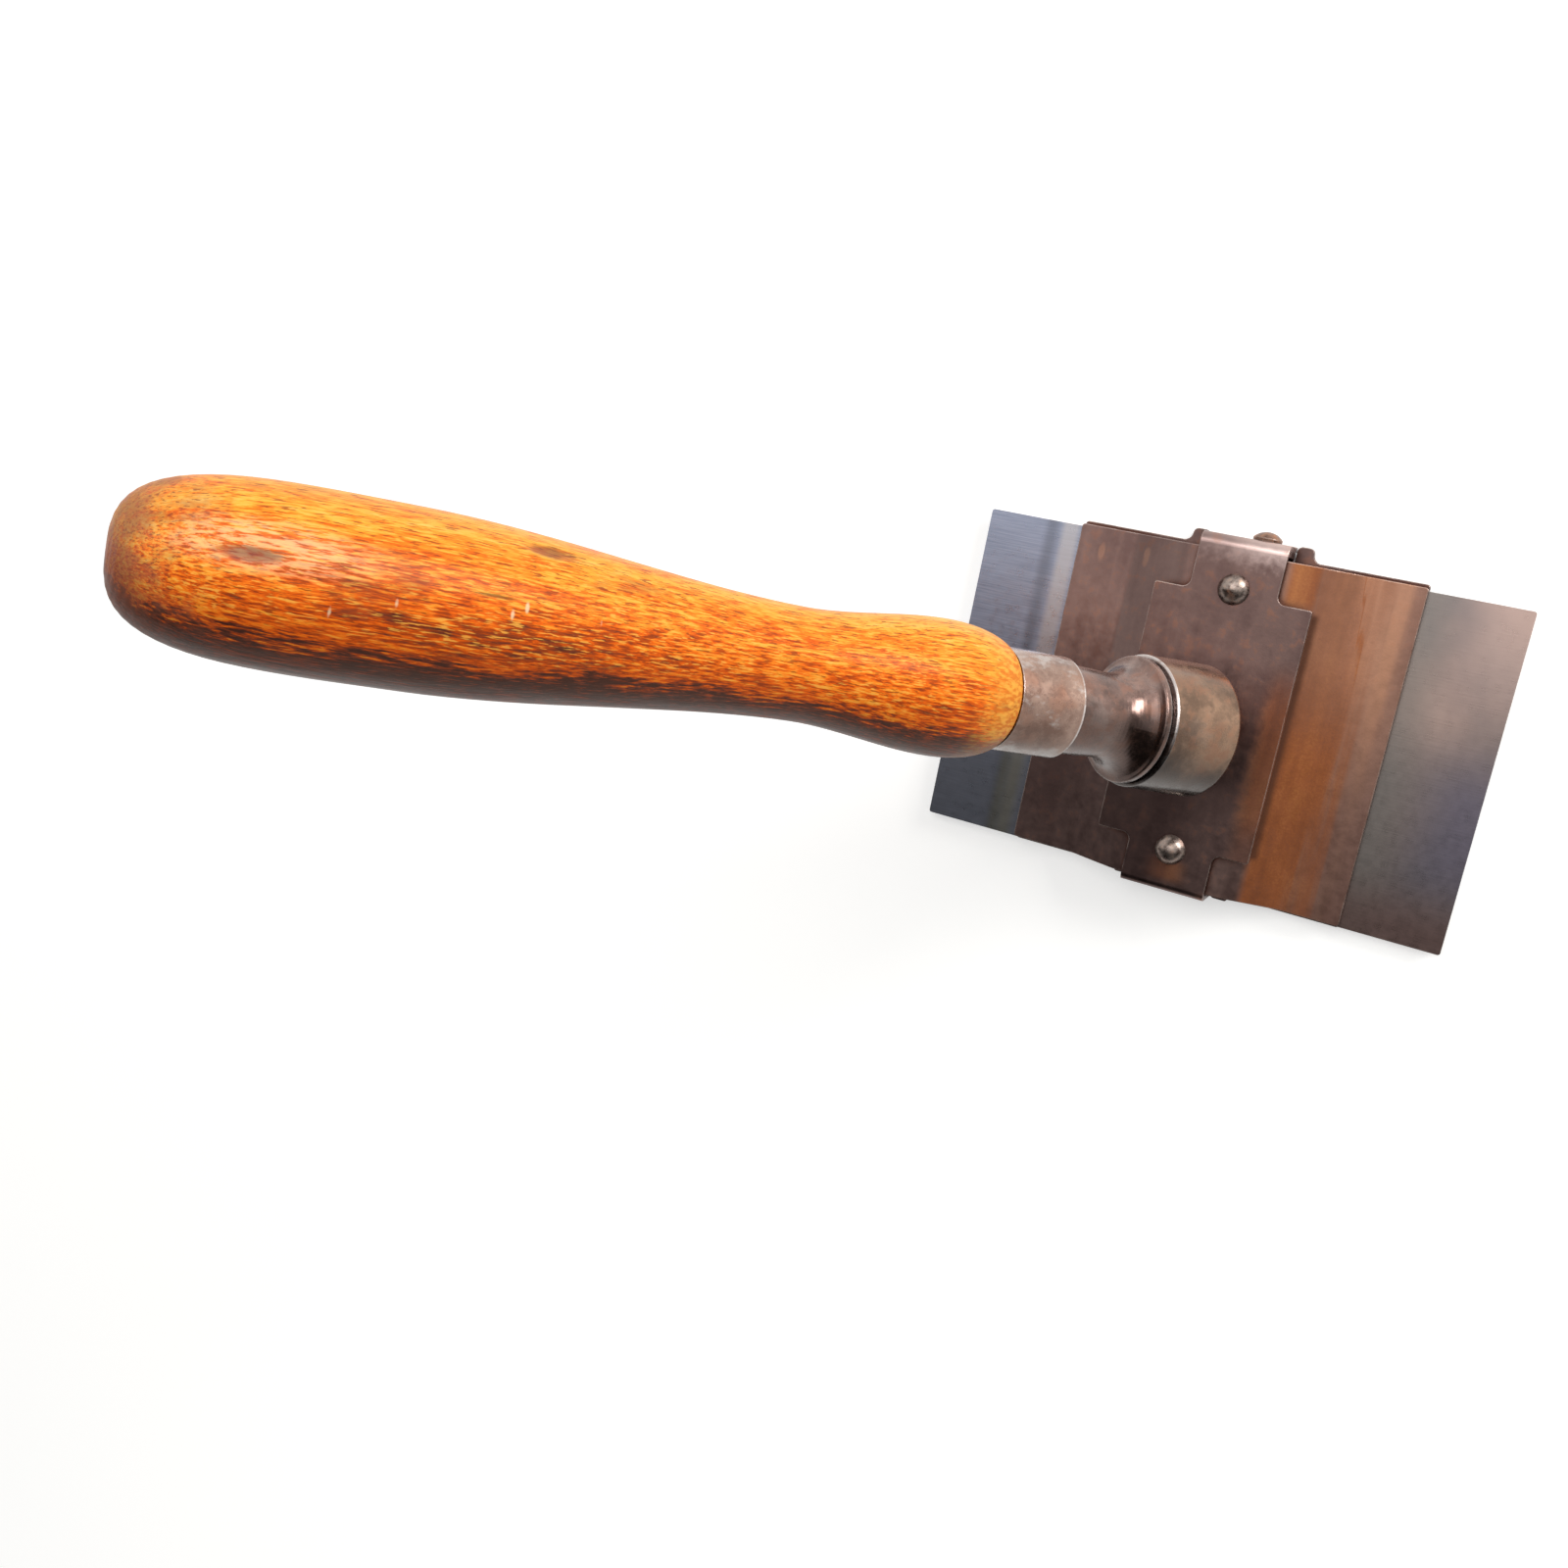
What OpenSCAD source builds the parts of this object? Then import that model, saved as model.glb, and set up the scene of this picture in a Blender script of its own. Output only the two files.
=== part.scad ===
// Cabinet scraper with a ball-jointed turned handle.
//
// The blade is gripped between a lower jaw and a bowed upper jaw. A bridge
// plate over the upper jaw has two tabs, each between two lugs of the lower
// jaw. One is keyed into the lower jaw's edge, and the other is screwed to a
// tongue of the lower jaw. A ball stud stands on the bridge, and a socket cap
// closes over the ball. Turning the handle screws its stem into the cap, which
// presses a seat ring on the ball and locks the handle at any angle.
//
// Frame: +Z is the blade's normal, +X runs along the blade away from the
// handle, and Z = 0 is the underside of the lower jaw. The ball's centre is
// on the Z axis. All sizes are in millimetres.

/* [Blade] */
// Length of the blade
blade_l = 101.6; // [90:0.1:130]
// Width of the blade
blade_w = 63.5; // [55:0.1:76]
// Thickness of the blade
blade_t = 1.0; // [0.7:0.1:1.4]
// Rounding of the blade's four corners
blade_corner_r = 0.5; // [0.3:0.1:2]
// How far the blade is slid along the jaws from their middle
blade_slide = -0.6; // [-8:0.1:8]
// How far the blade lies off the middle, across the jaws
blade_offset = -0.4; // [-0.5:0.1:0.2]

/* [Jaws] */
// Length of both jaws along the blade
jaw_l = 64.4; // [56:0.1:72]
// Thickness of the lower jaw's sheet
lower_t = 1.2; // [1:0.1:1.6]
// How far the lower jaw stands out past a blade in the middle, each side
lower_lap = 0.75; // [0.6:0.05:1.2]
// Thickness of the upper jaw's spring sheet
upper_t = 1.2; // [0.8:0.1:1.4]
// Length of each flat pad of the upper jaw, along the blade
pad_l = 10.5; // [7:0.1:12]
// Length of the upper jaw's flat crown, along the blade
crown_l = 16; // [15.5:0.1:20]
// Rise of the crown above the pads
crown_rise = 4.8; // [4:0.1:5.5]
// Bend radius at each pad, in the middle of the sheet
pad_bend_r = 5; // [3:0.5:7]
// Bend radius at the crown, in the middle of the sheet
crown_bend_r = 8; // [5:0.5:9]
// Least gap between the upper jaw's long edges and the keyed tab
upper_gap = 0.25; // [0.2:0.05:0.5]
// Radius of the rounded corners of both jaws
jaw_corner_r = 0.6; // [0.4:0.1:2]

/* [Tongue and lugs] */
// Distance from a blade in the middle to the tongue's inner face
tongue_gap = 0.75; // [0.5:0.05:1]
// Width of the tongue that stands up inside the screwed tab
tongue_w = 16.1; // [12:0.1:16.1]
// Inside bend radius of the tongue
tongue_bend_r = 0.5; // [0.4:0.1:0.6]
// How far the tongue stops below the bridge's top face
tongue_drop = 2.2; // [2.1:0.1:2.4]
// Radius of the tongue's top corners
tongue_corner_r = 1.6; // [0.5:0.1:2]
// Width of each of the four flat lugs
lug_w = 3.1; // [2.2:0.1:4]
// How far the lugs stand out past the outer face of the tab between them
lug_lap = 0.3; // [0.1:0.1:0.6]
// Greatest rounding of a lug's two corners
lug_corner_r = 1.0; // [0.4:0.1:1]
// Greatest fillet where a lug leaves the jaw's edge
lug_root_r = 1.8; // [0.6:0.1:2.4]
// Gap between a lug and the tab, and between lug and tongue at the least
lug_gap = 0.15; // [0.1:0.05:0.3]

/* [Bridge] */
// Length of the bridge's body along the blade
bridge_l = 29.1; // [26:0.1:34]
// Distance from the blade's long edges in to the bridge's body
bridge_inset = 7.75; // [6.5:0.05:9]
// Thickness of the bridge's sheet
bridge_t = 1.0; // [0.8:0.1:1.2]
// Width of the two tabs that bend down between the lugs
tab_w = 16.1; // [15.8:0.1:18]
// Outside bend radius of the screwed tab
tab_bend_r = 2.0; // [1.4:0.1:2]
// Outside bend radius of the keyed tab
key_bend_r = 1.4; // [1.3:0.1:1.8]
// How far the tabs' feet stay above the lower jaw's underside
foot_lift = 0.2; // [0.1:0.1:0.4]
// Distance from a blade in the middle to the keyed tab's inner face
key_gap = 0.55; // [0.5:0.05:0.8]
// How much wider the keyed foot is at the underside, each side
key_flare = 0.5; // [0.3:0.1:0.8]
// Clearance of the keyed foot in the lower jaw's notch
key_fit = 0.05; // [0.02:0.01:0.1]
// Fillet where the tabs leave the body
tab_root_r = 1.5; // [0.8:0.1:2.5]
// Radius of the body's four corners
bridge_corner_r = 0.5; // [0.3:0.1:2]

/* [Bridge rivets] */
// Distance from the blade's long edges in to the bridge rivets
rivet_inset = 6.65; // [6:0.05:8]
// Radius of a rivet's shank
rivet_r = 1.6; // [1.2:0.1:1.9]
// Radius of a rivet's domed head
rivet_head_r = 2.9; // [2.4:0.1:3.4]
// Height of a rivet's domed head
rivet_head_h = 1.9; // [1.2:0.1:2.3]
// Height of the flattened tail under the upper jaw
rivet_tail_h = 0.9; // [0.5:0.1:1.4]
// Clearance of a rivet in its holes, on the radius
rivet_fit = 0.03; // [0.01:0.01:0.08]

/* [Clamp screw] */
// How far the clamp screw stands off the tab's middle
screw_offset = 3.1; // [-3.5:0.1:3.5]
// Distance from the bridge's top face down to the clamp screw's axis
screw_drop = 4.6; // [4.4:0.1:4.8]
// Radius of the clamp screw's thread
screw_r = 1.75; // [1.5:0.05:2]
// Running clearance of the screw in the tongue's tapped hole, on the radius
screw_fit = 0.05; // [0.02:0.01:0.08]
// Clearance of the screw in the tab's plain hole, on the radius
screw_pass = 0.2; // [0.1:0.05:0.4]
// Radius of the screw's head
screw_head_r = 2.65; // [2.4:0.05:3]
// Height of the straight rim of the screw's head
screw_rim_h = 0.6; // [0.4:0.1:0.9]
// Height of the dome on the screw's head
screw_dome_h = 1.2; // [0.8:0.1:1.5]
// Width of the screw's slot
slot_w = 0.8; // [0.5:0.1:1]
// Depth of the screw's slot
slot_depth = 1.0; // [0.5:0.1:1.2]

/* [Ball stud] */
// Radius of the ball
ball_r = 9; // [8.6:0.1:9.4]
// Height of the ball's centre above the bridge's top face
ball_h = 18.5; // [17.5:0.1:21]
// Radius of the stud's neck under the ball
neck_r = 3.2; // [2.6:0.1:3.2]
// Radius of the flange that stands on the bridge
flange_r = 7.0; // [6.9:0.1:8]
// Thickness of the flange
flange_t = 1.8; // [1.2:0.1:2.2]
// Radius of the hollow between flange and neck
stud_hollow_r = 3.2; // [2.4:0.1:3.2]
// Radius of the shank that goes through bridge and upper jaw
shank_r = 4; // [3.4:0.1:4.6]
// Running clearance of the shank in its holes, on the radius
shank_fit = 0.05; // [0.02:0.01:0.08]
// Radius of the burr washer under the upper jaw
burr_r = 7; // [6:0.1:7.4]
// Thickness of the burr washer
burr_t = 1.0; // [0.8:0.1:1.2]
// Height of the shank's riveted tail
tail_h = 0.8; // [0.5:0.1:1]
// Width of the riveted tail's collar on the washer
tail_lap = 1.3; // [0.8:0.1:1.8]

/* [Socket] */
// Clearance of ball in socket, on the radius
ball_fit = 0.05; // [0.02:0.01:0.1]
// Distance from the ball's centre down to the socket's mouth
lip_drop = 3.4; // [3.4:0.1:4]
// Distance from the ball's centre back to the cap's rear face
cap_back = 10.8; // [10:0.1:12.5]
// Width of the shoulder between ball bore and thread bore
seat_land = 0.85; // [0.7:0.05:1]
// Wall of the cap round its thread
cap_wall = 2.0; // [1.6:0.1:3]
// How much the cap's radius narrows towards its rear
cap_taper = 0.25; // [0:0.05:0.4]
// Rounding of the cap's front edge
cap_edge_r = 1.0; // [0.4:0.1:1.4]
// Rounding of the cap's rear edge
cap_rear_r = 0.35; // [0.2:0.05:0.6]
// Distance from the ball's centre to the front of the thread bore
land_back = 0.8; // [0.6:0.1:1.1]
// Gap between that shoulder and the seat ring
ring_gap = 0.3; // [0.2:0.05:0.5]
// Length of the seat ring
ring_l = 3.5; // [3:0.1:4]
// Clearance of the seat ring in the cap, on the radius
ring_fit = 0.1; // [0.05:0.01:0.15]

/* [Stem] */
// Clearance of the stem's thread in the cap, on the radius
thread_fit = 0.05; // [0.02:0.01:0.08]
// Free space round the back of the ball inside the stem
ball_room = 0.4; // [0.3:0.1:0.6]
// Gap between the cap's rear face and the stem's collar
collar_gap = 0.6; // [0.5:0.1:1.5]
// Radius of the stem's shoulder between cap and collar
shoulder_r = 10.4; // [10:0.1:10.6]
// Gap between the cap's rear face and that shoulder
shoulder_gap = 0.1; // [0.05:0.05:0.3]
// Radius of the collar
collar_r = 11.1; // [10.7:0.1:11.8]
// Thickness of the collar's rim
collar_t = 1.4; // [1:0.1:2]
// Step from the collar's rim down to the flare
collar_step = 0.5; // [0.3:0.1:0.9]
// Length of the flare from collar to neck
flare_l = 6; // [5:0.5:8]
// Radius of the stem's neck next to the flare
stem_r = 7.35; // [6.8:0.05:7.5]
// Radius of the stem's neck where it enters the ferrule
stem_rear_r = 7.7; // [7.55:0.05:7.75]
// Distance from the ball's centre to the ferrule's front rim
ferrule_at = 27.5; // [26:0.1:34]
// How far the neck goes into the ferrule
stem_inset = 2.5; // [1.5:0.1:4]
// Side of the square tang in the handle
tang_side = 6; // [5:0.1:7]
// Length of the tang
tang_l = 48; // [30:1:60]

/* [Ferrule] */
// Outside radius of the ferrule
ferrule_r = 8.6; // [8.4:0.05:9]
// Length of the ferrule
ferrule_l = 12.7; // [10:0.1:18]
// Clearance of neck and wood in the ferrule, on the radius
ferrule_fit = 0.04; // [0.02:0.01:0.08]
// Rounding of the ferrule's front rim
ferrule_edge_r = 0.35; // [0.2:0.05:0.5]

/* [Handle] */
// Length of the wood behind the ferrule
wood_l = 135.5; // [115:0.5:160]
// Radius of the wood's front end
nose_r = 7.6; // [7.2:0.1:8.2]
// Radius of the front swelling
swell_r = 11.2; // [10.2:0.1:12]
// Distance from the ferrule to the front swelling
swell_at = 10.8; // [9:0.1:14]
// Radius of the waist
waist_r = 8.9; // [8.2:0.1:9.6]
// Distance from the ferrule to the waist
waist_at = 36.8; // [30:0.1:44]
// Radius of the widest part, near the butt
belly_r = 12.65; // [11.5:0.05:14]
// Distance from the ferrule to the widest part
belly_at = 95.8; // [85:0.1:105]
// Clearance of the tang in the wood, each side
tang_fit = 0.05; // [0.02:0.01:0.2]

/* [Handle angle] */
// Tilt of the handle from the blade's normal
tilt = 37.8; // [0:0.1:44]
// Swing of the handle about the blade's normal
swing = 3.3; // [-30:0.1:30]

/* [Hidden] */
$fn = 96;

// Overrun of a cutting shape past the face that it cuts
over = 1;

// Heights of the layers, upwards from the lower jaw's underside
blade_z = lower_t;
pad_z = blade_z + blade_t;
crown_z = pad_z + crown_rise;
bridge_z = crown_z + upper_t;
bridge_top = bridge_z + bridge_t;
ball_z = bridge_top + ball_h;

// Across the blade: jaw edge, tongue faces and tab faces
lower_y = blade_w / 2 + lower_lap;
tongue_in_y = blade_w / 2 + tongue_gap;
tongue_root_y = tongue_in_y - tongue_bend_r;
tongue_top = bridge_top - tongue_drop;
tab_in_y = tongue_in_y + lower_t;
tab_out_y = tab_in_y + bridge_t;
key_in_y = blade_w / 2 + key_gap;
key_out_y = key_in_y + bridge_t;
upper_y = min(key_in_y - upper_gap, key_out_y - key_bend_r);
notch_w = tab_w + 2 * lug_gap;
bridge_w = blade_w - 2 * bridge_inset;
rivet_y = blade_w / 2 - rivet_inset;
screw_z = bridge_top - screw_drop;

// Ball socket and stem, along the handle's axis from the ball's centre
socket_r = ball_r + ball_fit;
bore_r = ball_r + seat_land;
cap_r = bore_r + cap_wall;
ring_front = land_back + ring_gap;
ring_back = ring_front + ring_l;
ball_at_ring_r = sqrt(ball_r * ball_r - ring_back * ring_back);
stem_bore_r = ball_at_ring_r + ball_room / 2;
stem_floor = ball_r + ball_room;
collar_front = cap_back + collar_gap;
collar_back = collar_front + collar_t;
flare_end = collar_back + flare_l;
stem_back = ferrule_at + stem_inset;
tang_end = stem_back + tang_l;
ferrule_in_r = stem_rear_r + ferrule_fit;
wood_at = ferrule_at + ferrule_l;

steel_dark = [0.27, 0.22, 0.22];
steel_rust = [0.47, 0.33, 0.26];
steel_blue = [0.34, 0.36, 0.41];
steel_worn = [0.55, 0.52, 0.50];
brass_dull = [0.62, 0.50, 0.28];
wood_amber = [0.72, 0.38, 0.13];

function smooth(t) = t * t * (3 - 2 * t);

// Points on an arc about a centre
function arc(centre, r, from, to, steps = 10) =
    [for (i = [0:steps]) let (a = from + (to - from) * i / steps)
        centre + r * [cos(a), sin(a)]];

// Stations [x, z, heading] of a sheet's middle line along an arc
function bend(centre, r, from, to, turn, steps = 10) =
    [for (i = [0:steps]) let (a = from + (to - from) * i / steps)
        [centre[0] + r * cos(a), centre[1] + r * sin(a), a + turn]];

// Closed outline of a sheet of even thickness about its middle line
function ribbon(path, t) = concat(
    [for (p = path) [p[0] - t / 2 * sin(p[2]), p[1] + t / 2 * cos(p[2])]],
    [for (i = [len(path) - 1:-1:0]) let (p = path[i])
        [p[0] + t / 2 * sin(p[2]), p[1] - t / 2 * cos(p[2])]]);

// Rectangle with rounded corners, about the origin
module round_rect(l, w, r) {
    square([l - 2 * r, w], center = true);
    square([l, w - 2 * r], center = true);
    for (x = [-1, 1], y = [-1, 1])
        translate([x * (l / 2 - r), y * (w / 2 - r)]) circle(r);
}

// Concave fillet in the corner at the origin
module fillet(r) {
    difference() {
        square(r);
        translate([r, r]) circle(r);
    }
}

// Extrudes a profile drawn in Y and Z along X
module along_x(l) {
    rotate([90, 0, 90]) linear_extrude(l, center = true) children();
}

// Places a piece whose own axis is +Z from the ball's centre
module on_handle() {
    translate([0, 0, ball_z]) rotate([0, -tilt, -swing]) children();
}

// ---------------------------------------------------------------- blade

module blade() {
    color(steel_blue)
    translate([blade_slide, blade_offset, blade_z])
        linear_extrude(blade_t) round_rect(blade_l, blade_w, blade_corner_r);
}

// ----------------------------------------------------------------- jaws

// Middle line of the tongue, from the jaw's edge at +Y up to its top
function tongue_path() = let (r = tongue_bend_r + lower_t / 2)
    concat([[tongue_root_y - over, lower_t / 2, 0]],
           bend([tongue_root_y, lower_t + tongue_bend_r], r, 270, 360, 90),
           [[tongue_root_y + r, tongue_top, 90]]);

// Rounds the tongue's two top corners
module tongue_corners() {
    r = tongue_corner_r;
    for (x = [-1, 1])
        translate([x * (tongue_w / 2 - r), 0, tongue_top - r])
        difference() {
            translate([x > 0 ? 0 : -tongue_w, tongue_in_y - over, 0])
                cube([tongue_w, lower_t + 2 * over, r + over]);
            translate([0, tongue_in_y - 2 * over, 0]) rotate([-90, 0, 0])
                cylinder(r = r, h = lower_t + 4 * over);
        }
}

// Outlines of the two lugs at +Y, whose ends are at a given distance
module lugs(reach) {
    past = reach - lower_y;
    corner_r = min(lug_corner_r, past / 2);
    for (side = [0, 1]) mirror([side, 0]) translate([notch_w / 2, 0]) {
        translate([lug_w, reach] / 2) round_rect(lug_w, reach, corner_r);
        translate([lug_w, lower_y]) fillet(min(lug_root_r, past - corner_r));
    }
}

module lower_jaw() {
    color(steel_dark)
    difference() {
        union() {
            linear_extrude(lower_t) difference() {
                union() {
                    round_rect(jaw_l, 2 * lower_y, jaw_corner_r);
                    lugs(tab_out_y + lug_lap);
                    mirror([0, 1]) lugs(key_out_y + lug_lap);
                }
                translate([-notch_w / 2, tongue_root_y])
                    square([notch_w, tab_out_y]);
            }
            along_x(tongue_w) polygon(ribbon(tongue_path(), lower_t));
        }
        tongue_corners();
        clamp_hole(screw_r + screw_fit);
        tab_key(key_fit, over);
    }
}

// Angle of the ramp that runs tangent from the pad's bend to the crown's
function ramp_angle() = let (
    run = jaw_l / 2 - pad_l - crown_l / 2,
    radii = pad_bend_r + crown_bend_r,
    left = radii - crown_rise)
    asin(radii / norm([run, left])) - atan2(left, run);

// Middle line of the upper jaw: pad, ramp, crown, ramp, pad
function upper_path() = let (
    a = ramp_angle(),
    pad = jaw_l / 2 - pad_l,
    low = pad_z + upper_t / 2,
    high = crown_z + upper_t / 2)
    concat([[-jaw_l / 2, low, 0]],
           bend([-pad, low + pad_bend_r], pad_bend_r, 270, 270 + a, 90),
           bend([-crown_l / 2, high - crown_bend_r], crown_bend_r,
                90 + a, 90, -90),
           bend([crown_l / 2, high - crown_bend_r], crown_bend_r,
                90, 90 - a, -90),
           bend([pad, low + pad_bend_r], pad_bend_r, 270 - a, 270, 90),
           [[jaw_l / 2, low, 0]]);

module upper_jaw() {
    color(steel_rust)
    difference() {
        intersection() {
            rotate([90, 0, 0]) linear_extrude(2 * upper_y, center = true)
                polygon(ribbon(upper_path(), upper_t));
            linear_extrude(bridge_top)
                round_rect(jaw_l, 2 * upper_y, jaw_corner_r);
        }
        stud_hole();
        bridge_rivet_holes();
    }
}

// --------------------------------------------------------------- bridge

// Middle line of the bridge across the blade, from foot to foot
function bridge_path() = let (
    key_y = key_bend_r - key_out_y,
    tab_y = tab_out_y - tab_bend_r)
    concat([[bridge_t / 2 - key_out_y, foot_lift, 90]],
           bend([key_y, bridge_top - key_bend_r], key_bend_r - bridge_t / 2,
                180, 90, -90),
           bend([tab_y, bridge_top - tab_bend_r], tab_bend_r - bridge_t / 2,
                90, 0, -90),
           [[tab_out_y - bridge_t / 2, foot_lift, -90]]);

module bridge_outline() {
    round_rect(bridge_l, bridge_w, bridge_corner_r);
    for (x = [0, 1], y = [0, 1]) mirror([x, 0]) mirror([0, y])
        translate([tab_w / 2, bridge_w / 2]) fillet(tab_root_r);
}

// Dovetail foot of the keyed tab, at -Y. For the notch it is grown by a
// clearance, and it runs out past the jaw's faces and edge.
module tab_key(fit = 0, past = 0) {
    low = past > 0 ? -past : foot_lift;
    high = lower_t + past;
    function half(z) = tab_w / 2 + fit + key_flare * (1 - z / lower_t);
    translate([0, fit - key_in_y, 0]) rotate([90, 0, 0])
        linear_extrude(bridge_t + fit + past)
        polygon([[-half(low), low], [half(low), low],
                 [half(high), high], [-half(high), high]]);
}

module bridge_plate() {
    color(steel_dark)
    difference() {
        union() {
            translate([0, 0, bridge_z]) linear_extrude(bridge_t)
                bridge_outline();
            along_x(tab_w) polygon(ribbon(bridge_path(), bridge_t));
            tab_key();
        }
        stud_hole();
        bridge_rivet_holes();
        clamp_hole(screw_r + screw_pass);
    }
}

module stud_hole() {
    translate([0, 0, crown_z - over])
        cylinder(r = shank_r + shank_fit, h = upper_t + bridge_t + 2 * over);
}

module bridge_rivet_holes() {
    for (side = [-1, 1])
        translate([0, side * rivet_y, crown_z - over])
            cylinder(r = rivet_r + rivet_fit, h = upper_t + bridge_t + 2 * over);
}

// Dome of a given radius and height, standing on Z = 0
module dome(r, h) {
    sphere_r = (r * r + h * h) / (2 * h);
    intersection() {
        translate([0, 0, h - sphere_r]) sphere(sphere_r);
        cylinder(r = r + over, h = h + over);
    }
}

// Domed rivet through bridge and crown, on one side of the stud
module bridge_rivet(side) {
    tail_r = (rivet_r + rivet_head_r) / 2;
    color(steel_worn)
    translate([0, side * rivet_y, 0]) {
        translate([0, 0, bridge_top]) dome(rivet_head_r, rivet_head_h);
        translate([0, 0, crown_z - rivet_tail_h / 2])
            cylinder(r = rivet_r, h = upper_t + bridge_t + rivet_tail_h / 2);
        translate([0, 0, crown_z]) mirror([0, 0, 1])
            dome(tail_r, rivet_tail_h);
    }
}

// ---------------------------------------------------------- clamp screw

// Hole for the clamp screw through tab and tongue
module clamp_hole(r) {
    translate([screw_offset, tongue_in_y - over, screw_z]) rotate([-90, 0, 0])
        cylinder(r = r, h = tab_out_y - tongue_in_y + 2 * over);
}

module clamp_screw() {
    head_h = screw_rim_h + screw_dome_h;
    color(steel_dark)
    translate([screw_offset, tab_out_y, screw_z]) rotate([-90, 0, 0])
    difference() {
        union() {
            translate([0, 0, tongue_in_y - tab_out_y])
                cylinder(r = screw_r, h = tab_out_y - tongue_in_y + over / 2);
            cylinder(r = screw_head_r, h = screw_rim_h);
            translate([0, 0, screw_rim_h]) dome(screw_head_r, screw_dome_h);
        }
        translate([0, 0, head_h - slot_depth + over])
            cube([3 * screw_head_r, slot_w, 2 * over], center = true);
    }
}

// ------------------------------------------------------------ ball stud

module ball_stud() {
    waist_z = flange_t + stud_hollow_r;
    edge_r = 0.5;
    foot_chamfer = 0.3;
    color(steel_worn)
    translate([0, 0, bridge_top]) {
        translate([0, 0, ball_h]) sphere(ball_r);
        rotate_extrude() polygon(concat(
            [[0, 0], [flange_r - foot_chamfer, 0], [flange_r, foot_chamfer]],
            arc([flange_r - edge_r, flange_t - edge_r], edge_r, 0, 90, 4),
            arc([neck_r + stud_hollow_r, waist_z], stud_hollow_r, 270, 180),
            [[neck_r, ball_h], [0, ball_h]]));
        translate([0, 0, crown_z - bridge_top - burr_t - tail_h / 2])
            cylinder(r = shank_r, h = upper_t + bridge_t + burr_t + tail_h);
        translate([0, 0, crown_z - bridge_top - burr_t]) mirror([0, 0, 1])
            dome(shank_r + tail_lap, tail_h);
    }
}

module stud_burr() {
    color(steel_dark)
    translate([0, 0, crown_z - burr_t]) difference() {
        cylinder(r = burr_r, h = burr_t);
        translate([0, 0, -over])
            cylinder(r = shank_r + rivet_fit, h = burr_t + 2 * over);
    }
}

// --------------------------------------------------------------- socket

module socket_cap() {
    rear_r = cap_r - cap_taper;
    color(steel_dark)
    on_handle() difference() {
        rotate_extrude() polygon(concat(
            [[0, -lip_drop]],
            arc([cap_r - cap_edge_r, cap_edge_r - lip_drop], cap_edge_r,
                270, 360, 6),
            arc([rear_r - cap_rear_r, cap_back - cap_rear_r], cap_rear_r,
                0, 90, 4),
            [[0, cap_back]]));
        sphere(socket_r);
        cylinder(r = socket_r, h = cap_back + over);
        translate([0, 0, land_back])
            cylinder(r = bore_r, h = cap_back - land_back + over);
    }
}

module seat_ring() {
    color(brass_dull)
    on_handle() difference() {
        translate([0, 0, ring_front])
            cylinder(r = bore_r - ring_fit, h = ring_l);
        sphere(socket_r);
    }
}

// ----------------------------------------------------------------- stem

module socket_stem() {
    rim_r = 0.4;
    thread_lead = 0.5;
    flare_r = collar_r - collar_step;
    thread_r = bore_r - thread_fit;
    shoulder = cap_back + shoulder_gap;
    color(steel_dark)
    on_handle() {
        difference() {
            rotate_extrude() polygon(concat(
                [[0, ring_back], [thread_r - thread_lead, ring_back],
                 [thread_r, ring_back + thread_lead], [thread_r, shoulder],
                 [shoulder_r, shoulder], [shoulder_r, collar_front]],
                arc([collar_r - rim_r, collar_front + rim_r], rim_r, 270, 360, 4),
                arc([collar_r - rim_r, collar_back - rim_r], rim_r, 0, 90, 4),
                [for (i = [0:12]) let (a = 90 * i / 12)
                    [stem_r + (flare_r - stem_r) * (1 - sin(a)),
                     flare_end - flare_l * cos(a)]],
                [[stem_rear_r, ferrule_at], [stem_rear_r, stem_back],
                 [0, stem_back]]));
            translate([0, 0, ring_back - over])
                cylinder(r = stem_bore_r, h = stem_floor - ring_back + over);
        }
        intersection() {
            translate([-tang_side / 2, -tang_side / 2, stem_back - over])
                cube([tang_side, tang_side, tang_l + over]);
            translate([0, 0, tang_end - 2 * tang_l])
                cylinder(r1 = tang_l, r2 = tang_side / 4, h = 2 * tang_l);
        }
    }
}

// -------------------------------------------------------------- ferrule

module ferrule() {
    color(steel_dark)
    on_handle() rotate_extrude() polygon(concat(
        [[ferrule_in_r, ferrule_at]],
        arc([ferrule_r - ferrule_edge_r, ferrule_at + ferrule_edge_r],
            ferrule_edge_r, 270, 360, 5),
        [[ferrule_r, wood_at], [ferrule_in_r, wood_at]]));
}

// --------------------------------------------------------------- handle

// Turned outline of the wood, [radius, distance from the ferrule]. The nose is
// part of an ellipse, and the butt is a rounded end, fuller than an ellipse.
function wood_outline() = let (
    nose_arc = 80,
    flank_power = 4,
    end_power = 3,
    nose = [for (i = [0:8]) let (a = nose_arc * (1 - i / 8))
        [nose_r + (swell_r - nose_r) * cos(a),
         swell_at * (1 - sin(a) / sin(nose_arc))]],
    neck = [for (i = [1:14]) let (t = i / 14)
        [swell_r + (waist_r - swell_r) * smooth(t),
         swell_at + (waist_at - swell_at) * t]],
    grip = [for (i = [1:20]) let (t = i / 20)
        [waist_r + (belly_r - waist_r) * smooth(t),
         waist_at + (belly_at - waist_at) * t]],
    butt = [for (i = [1:20]) let (t = sin(90 * i / 20))
        [belly_r * pow(1 - pow(t, flank_power), 1 / end_power),
         belly_at + (wood_l - belly_at) * t]])
    concat(nose, neck, grip, butt);

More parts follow.
